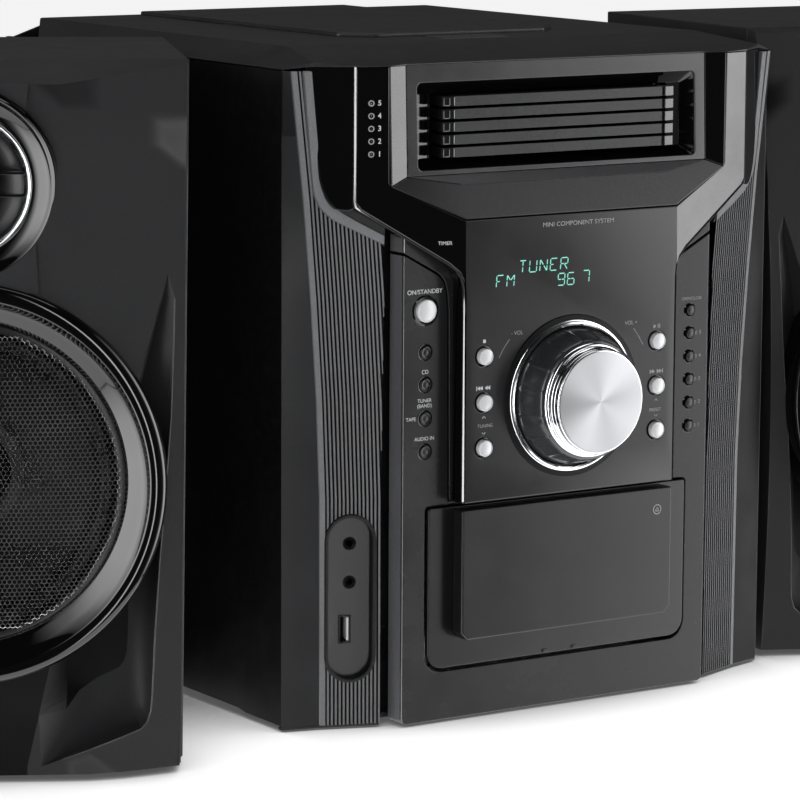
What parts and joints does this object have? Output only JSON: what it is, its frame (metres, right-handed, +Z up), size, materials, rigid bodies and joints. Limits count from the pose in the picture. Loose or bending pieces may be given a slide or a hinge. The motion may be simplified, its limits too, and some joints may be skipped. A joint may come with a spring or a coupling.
{
  "type": "compact stereo system",
  "caption": "Compact stereo system: upright disc changer, tuner and cassette unit with a large volume knob between two bass reflex speakers on small feet.",
  "frame": {"origin": "middle of the whole system's footprint, on the surface it stands on", "axes": "+X to the viewer's right along the row of the three cabinets, +Y away from the viewer, +Z up"},
  "size_m": [0.748, 0.3392, 0.325],
  "materials": {
    "front_gloss": "black moulded plastic, polished to a mirror gloss",
    "front_satin": "charcoal moulded plastic, satin",
    "pillar": "charcoal moulded plastic, fine spark texture",
    "case_steel": "black powder paint on folded sheet steel",
    "cover_top": "charcoal moulded plastic, satin with a fine grain",
    "pan_steel": "plain zinc-plated sheet steel",
    "rubber_feet": "black rubber",
    "screw_steel": "blackened steel",
    "silver_cap": "bright silver-plated plastic caps",
    "knob_skirt": "volume knob: dark gloss ribbed skirt",
    "knob_ring": "black gloss ring",
    "black_cap": "black gloss caps",
    "tray": "grey moulded trays with satin fronts",
    "changer": "black glass-filled plastic",
    "display": "dark display filter with lit segments",
    "board": "green circuit board",
    "transformer": "varnished laminated core with tape-wound coil",
    "deck": "plain sheet steel",
    "reel": "off-white acetal",
    "door": "black plastic, polished",
    "holder": "black plastic",
    "jacks": "dark plastic cup with nickel jack sleeves",
    "terminals": "black plastic with coloured spring levers",
    "gland": "black plastic",
    "cabinet": "board wrapped in black vinyl",
    "baffle": "charcoal moulded plastic, satin",
    "grille": "gloss ring with a black perforated steel sheet",
    "woofer": "coated cone, rubber surround and magnet",
    "tweeter": "dark flare with a bright ring and a dome"
  },
  "bodies": {
    "main_unit": {"base_pan": "pan_steel", "feet": "rubber_feet", "left_side_panel": "case_steel", "right_side_panel": "case_steel", "rear_panel": "case_steel", "top_cover": "cover_top", "left_pillar": "pillar", "right_pillar": "pillar", "jack_panel": "jacks", "front_column": "front_satin", "front_panel": "front_gloss", "upper_bezel": "front_satin", "knob_ring": "knob_ring", "control_board": "board", "display_module": "display", "changer_frame": "changer", "deck_plate": "deck", "main_board": "board", "power_transformer": "transformer", "rear_terminals": "terminals", "cord_gland": "gland", "case_screws": "screw_steel"},
    "volume_knob_body": {"volume_knob": "knob_skirt"},
    "disc_button_body": {"disc_button": "black_cap"},
    "disc_five_button_body": {"disc_five_button": "black_cap"},
    "disc_four_button_body": {"disc_four_button": "black_cap"},
    "disc_one_button_body": {"disc_one_button": "black_cap"},
    "disc_three_button_body": {"disc_three_button": "black_cap"},
    "disc_two_button_body": {"disc_two_button": "black_cap"},
    "input_button_body": {"input_button": "black_cap"},
    "open_close_button_body": {"open_close_button": "black_cap"},
    "play_button_body": {"play_button": "silver_cap"},
    "preset_button_body": {"preset_button": "silver_cap"},
    "skip_back_button_body": {"skip_back_button": "silver_cap"},
    "skip_forward_button_body": {"skip_forward_button": "silver_cap"},
    "standby_button_body": {"standby_button": "silver_cap"},
    "stop_button_body": {"stop_button": "silver_cap"},
    "tuner_button_body": {"tuner_button": "black_cap"},
    "tuning_button_body": {"tuning_button": "silver_cap"},
    "wireless_button_body": {"wireless_button": "black_cap"},
    "disc_tray_one_body": {"disc_tray_one": "tray"},
    "disc_tray_two_body": {"disc_tray_two": "tray"},
    "disc_tray_three_body": {"disc_tray_three": "tray"},
    "disc_tray_four_body": {"disc_tray_four": "tray"},
    "disc_tray_five_body": {"disc_tray_five": "tray"},
    "pickup_body": {"pickup_sled": "holder"},
    "cassette_door_body": {"cassette_door": "door", "cassette_holder": "holder"},
    "supply_reel_body": {"supply_reel": "reel"},
    "take_up_reel_body": {"take_up_reel": "reel"},
    "left_speaker": {"left_cabinet": "cabinet", "left_baffle": "baffle", "left_woofer_grille": "grille", "left_woofer": "woofer", "left_tweeter": "tweeter"},
    "right_speaker": {"right_cabinet": "cabinet", "right_baffle": "baffle", "right_woofer_grille": "grille", "right_woofer": "woofer", "right_tweeter": "tweeter"}
  },
  "joints": [
    {"name": "volume_knob_turn", "type": "hinge", "parent": "main_unit", "child": "volume_knob_body", "pos_m": [0.02093, -0.15525, 0.1552], "axis": [0, 1, 0], "continuous": true},
    {"name": "disc_button_press", "type": "slide", "parent": "main_unit", "child": "disc_button_body", "axis": [0, 1, 0], "range_m": [0, 0.001], "stiffness_N_per_m": 300, "springref_m": -0.001},
    {"name": "disc_five_button_press", "type": "slide", "parent": "main_unit", "child": "disc_five_button_body", "axis": [0, 1, 0], "range_m": [0, 0.001], "stiffness_N_per_m": 300, "springref_m": -0.001},
    {"name": "disc_four_button_press", "type": "slide", "parent": "main_unit", "child": "disc_four_button_body", "axis": [0, 1, 0], "range_m": [0, 0.001], "stiffness_N_per_m": 300, "springref_m": -0.001},
    {"name": "disc_one_button_press", "type": "slide", "parent": "main_unit", "child": "disc_one_button_body", "axis": [0, 1, 0], "range_m": [0, 0.001], "stiffness_N_per_m": 300, "springref_m": -0.001},
    {"name": "disc_three_button_press", "type": "slide", "parent": "main_unit", "child": "disc_three_button_body", "axis": [0, 1, 0], "range_m": [0, 0.001], "stiffness_N_per_m": 300, "springref_m": -0.001},
    {"name": "disc_two_button_press", "type": "slide", "parent": "main_unit", "child": "disc_two_button_body", "axis": [0, 1, 0], "range_m": [0, 0.001], "stiffness_N_per_m": 300, "springref_m": -0.001},
    {"name": "input_button_press", "type": "slide", "parent": "main_unit", "child": "input_button_body", "axis": [0, 1, 0], "range_m": [0, 0.001], "stiffness_N_per_m": 300, "springref_m": -0.001},
    {"name": "open_close_button_press", "type": "slide", "parent": "main_unit", "child": "open_close_button_body", "axis": [0, 1, 0], "range_m": [0, 0.001], "stiffness_N_per_m": 300, "springref_m": -0.001},
    {"name": "play_button_press", "type": "slide", "parent": "main_unit", "child": "play_button_body", "axis": [0, 1, 0], "range_m": [0, 0.001], "stiffness_N_per_m": 300, "springref_m": -0.001},
    {"name": "preset_button_press", "type": "slide", "parent": "main_unit", "child": "preset_button_body", "axis": [0, 1, 0], "range_m": [0, 0.001], "stiffness_N_per_m": 300, "springref_m": -0.001},
    {"name": "skip_back_button_press", "type": "slide", "parent": "main_unit", "child": "skip_back_button_body", "axis": [0, 1, 0], "range_m": [0, 0.001], "stiffness_N_per_m": 300, "springref_m": -0.001},
    {"name": "skip_forward_button_press", "type": "slide", "parent": "main_unit", "child": "skip_forward_button_body", "axis": [0, 1, 0], "range_m": [0, 0.001], "stiffness_N_per_m": 300, "springref_m": -0.001},
    {"name": "standby_button_press", "type": "slide", "parent": "main_unit", "child": "standby_button_body", "axis": [0, 1, 0], "range_m": [0, 0.001], "stiffness_N_per_m": 300, "springref_m": -0.001},
    {"name": "stop_button_press", "type": "slide", "parent": "main_unit", "child": "stop_button_body", "axis": [0, 1, 0], "range_m": [0, 0.001], "stiffness_N_per_m": 300, "springref_m": -0.001},
    {"name": "tuner_button_press", "type": "slide", "parent": "main_unit", "child": "tuner_button_body", "axis": [0, 1, 0], "range_m": [0, 0.001], "stiffness_N_per_m": 300, "springref_m": -0.001},
    {"name": "tuning_button_press", "type": "slide", "parent": "main_unit", "child": "tuning_button_body", "axis": [0, 1, 0], "range_m": [0, 0.001], "stiffness_N_per_m": 300, "springref_m": -0.001},
    {"name": "wireless_button_press", "type": "slide", "parent": "main_unit", "child": "wireless_button_body", "axis": [0, 1, 0], "range_m": [0, 0.001], "stiffness_N_per_m": 300, "springref_m": -0.001},
    {"name": "disc_tray_one_slide", "type": "slide", "parent": "main_unit", "child": "disc_tray_one_body", "axis": [0, -1, 0], "range_m": [0, 0.13]},
    {"name": "disc_tray_two_slide", "type": "slide", "parent": "main_unit", "child": "disc_tray_two_body", "axis": [0, -1, 0], "range_m": [0, 0.13]},
    {"name": "disc_tray_three_slide", "type": "slide", "parent": "main_unit", "child": "disc_tray_three_body", "axis": [0, -1, 0], "range_m": [0, 0.13]},
    {"name": "disc_tray_four_slide", "type": "slide", "parent": "main_unit", "child": "disc_tray_four_body", "axis": [0, -1, 0], "range_m": [0, 0.13]},
    {"name": "disc_tray_five_slide", "type": "slide", "parent": "main_unit", "child": "disc_tray_five_body", "axis": [0, -1, 0], "range_m": [0, 0.13]},
    {"name": "pickup_slide", "type": "slide", "parent": "main_unit", "child": "pickup_body", "axis": [0, 1, 0], "range_m": [0, 0.035]},
    {"name": "cassette_door_hinge", "type": "hinge", "parent": "main_unit", "child": "cassette_door_body", "pos_m": [0.02093, -0.13275, 0.0306], "axis": [1, 0, 0], "range_deg": [0, 38]},
    {"name": "supply_reel_turn", "type": "hinge", "parent": "main_unit", "child": "supply_reel_body", "pos_m": [-0.00032, -0.11925, 0.071], "axis": [0, 1, 0], "continuous": true},
    {"name": "take_up_reel_turn", "type": "hinge", "parent": "main_unit", "child": "take_up_reel_body", "pos_m": [0.04218, -0.11925, 0.071], "axis": [0, 1, 0], "continuous": true},
    {"name": "left_speaker_shift", "type": "slide", "parent": "main_unit", "child": "left_speaker", "axis": [-1, 0, 0], "range_m": [0, 0.06]},
    {"name": "right_speaker_shift", "type": "slide", "parent": "main_unit", "child": "right_speaker", "axis": [1, 0, 0], "range_m": [0, 0.06]}
  ]
}
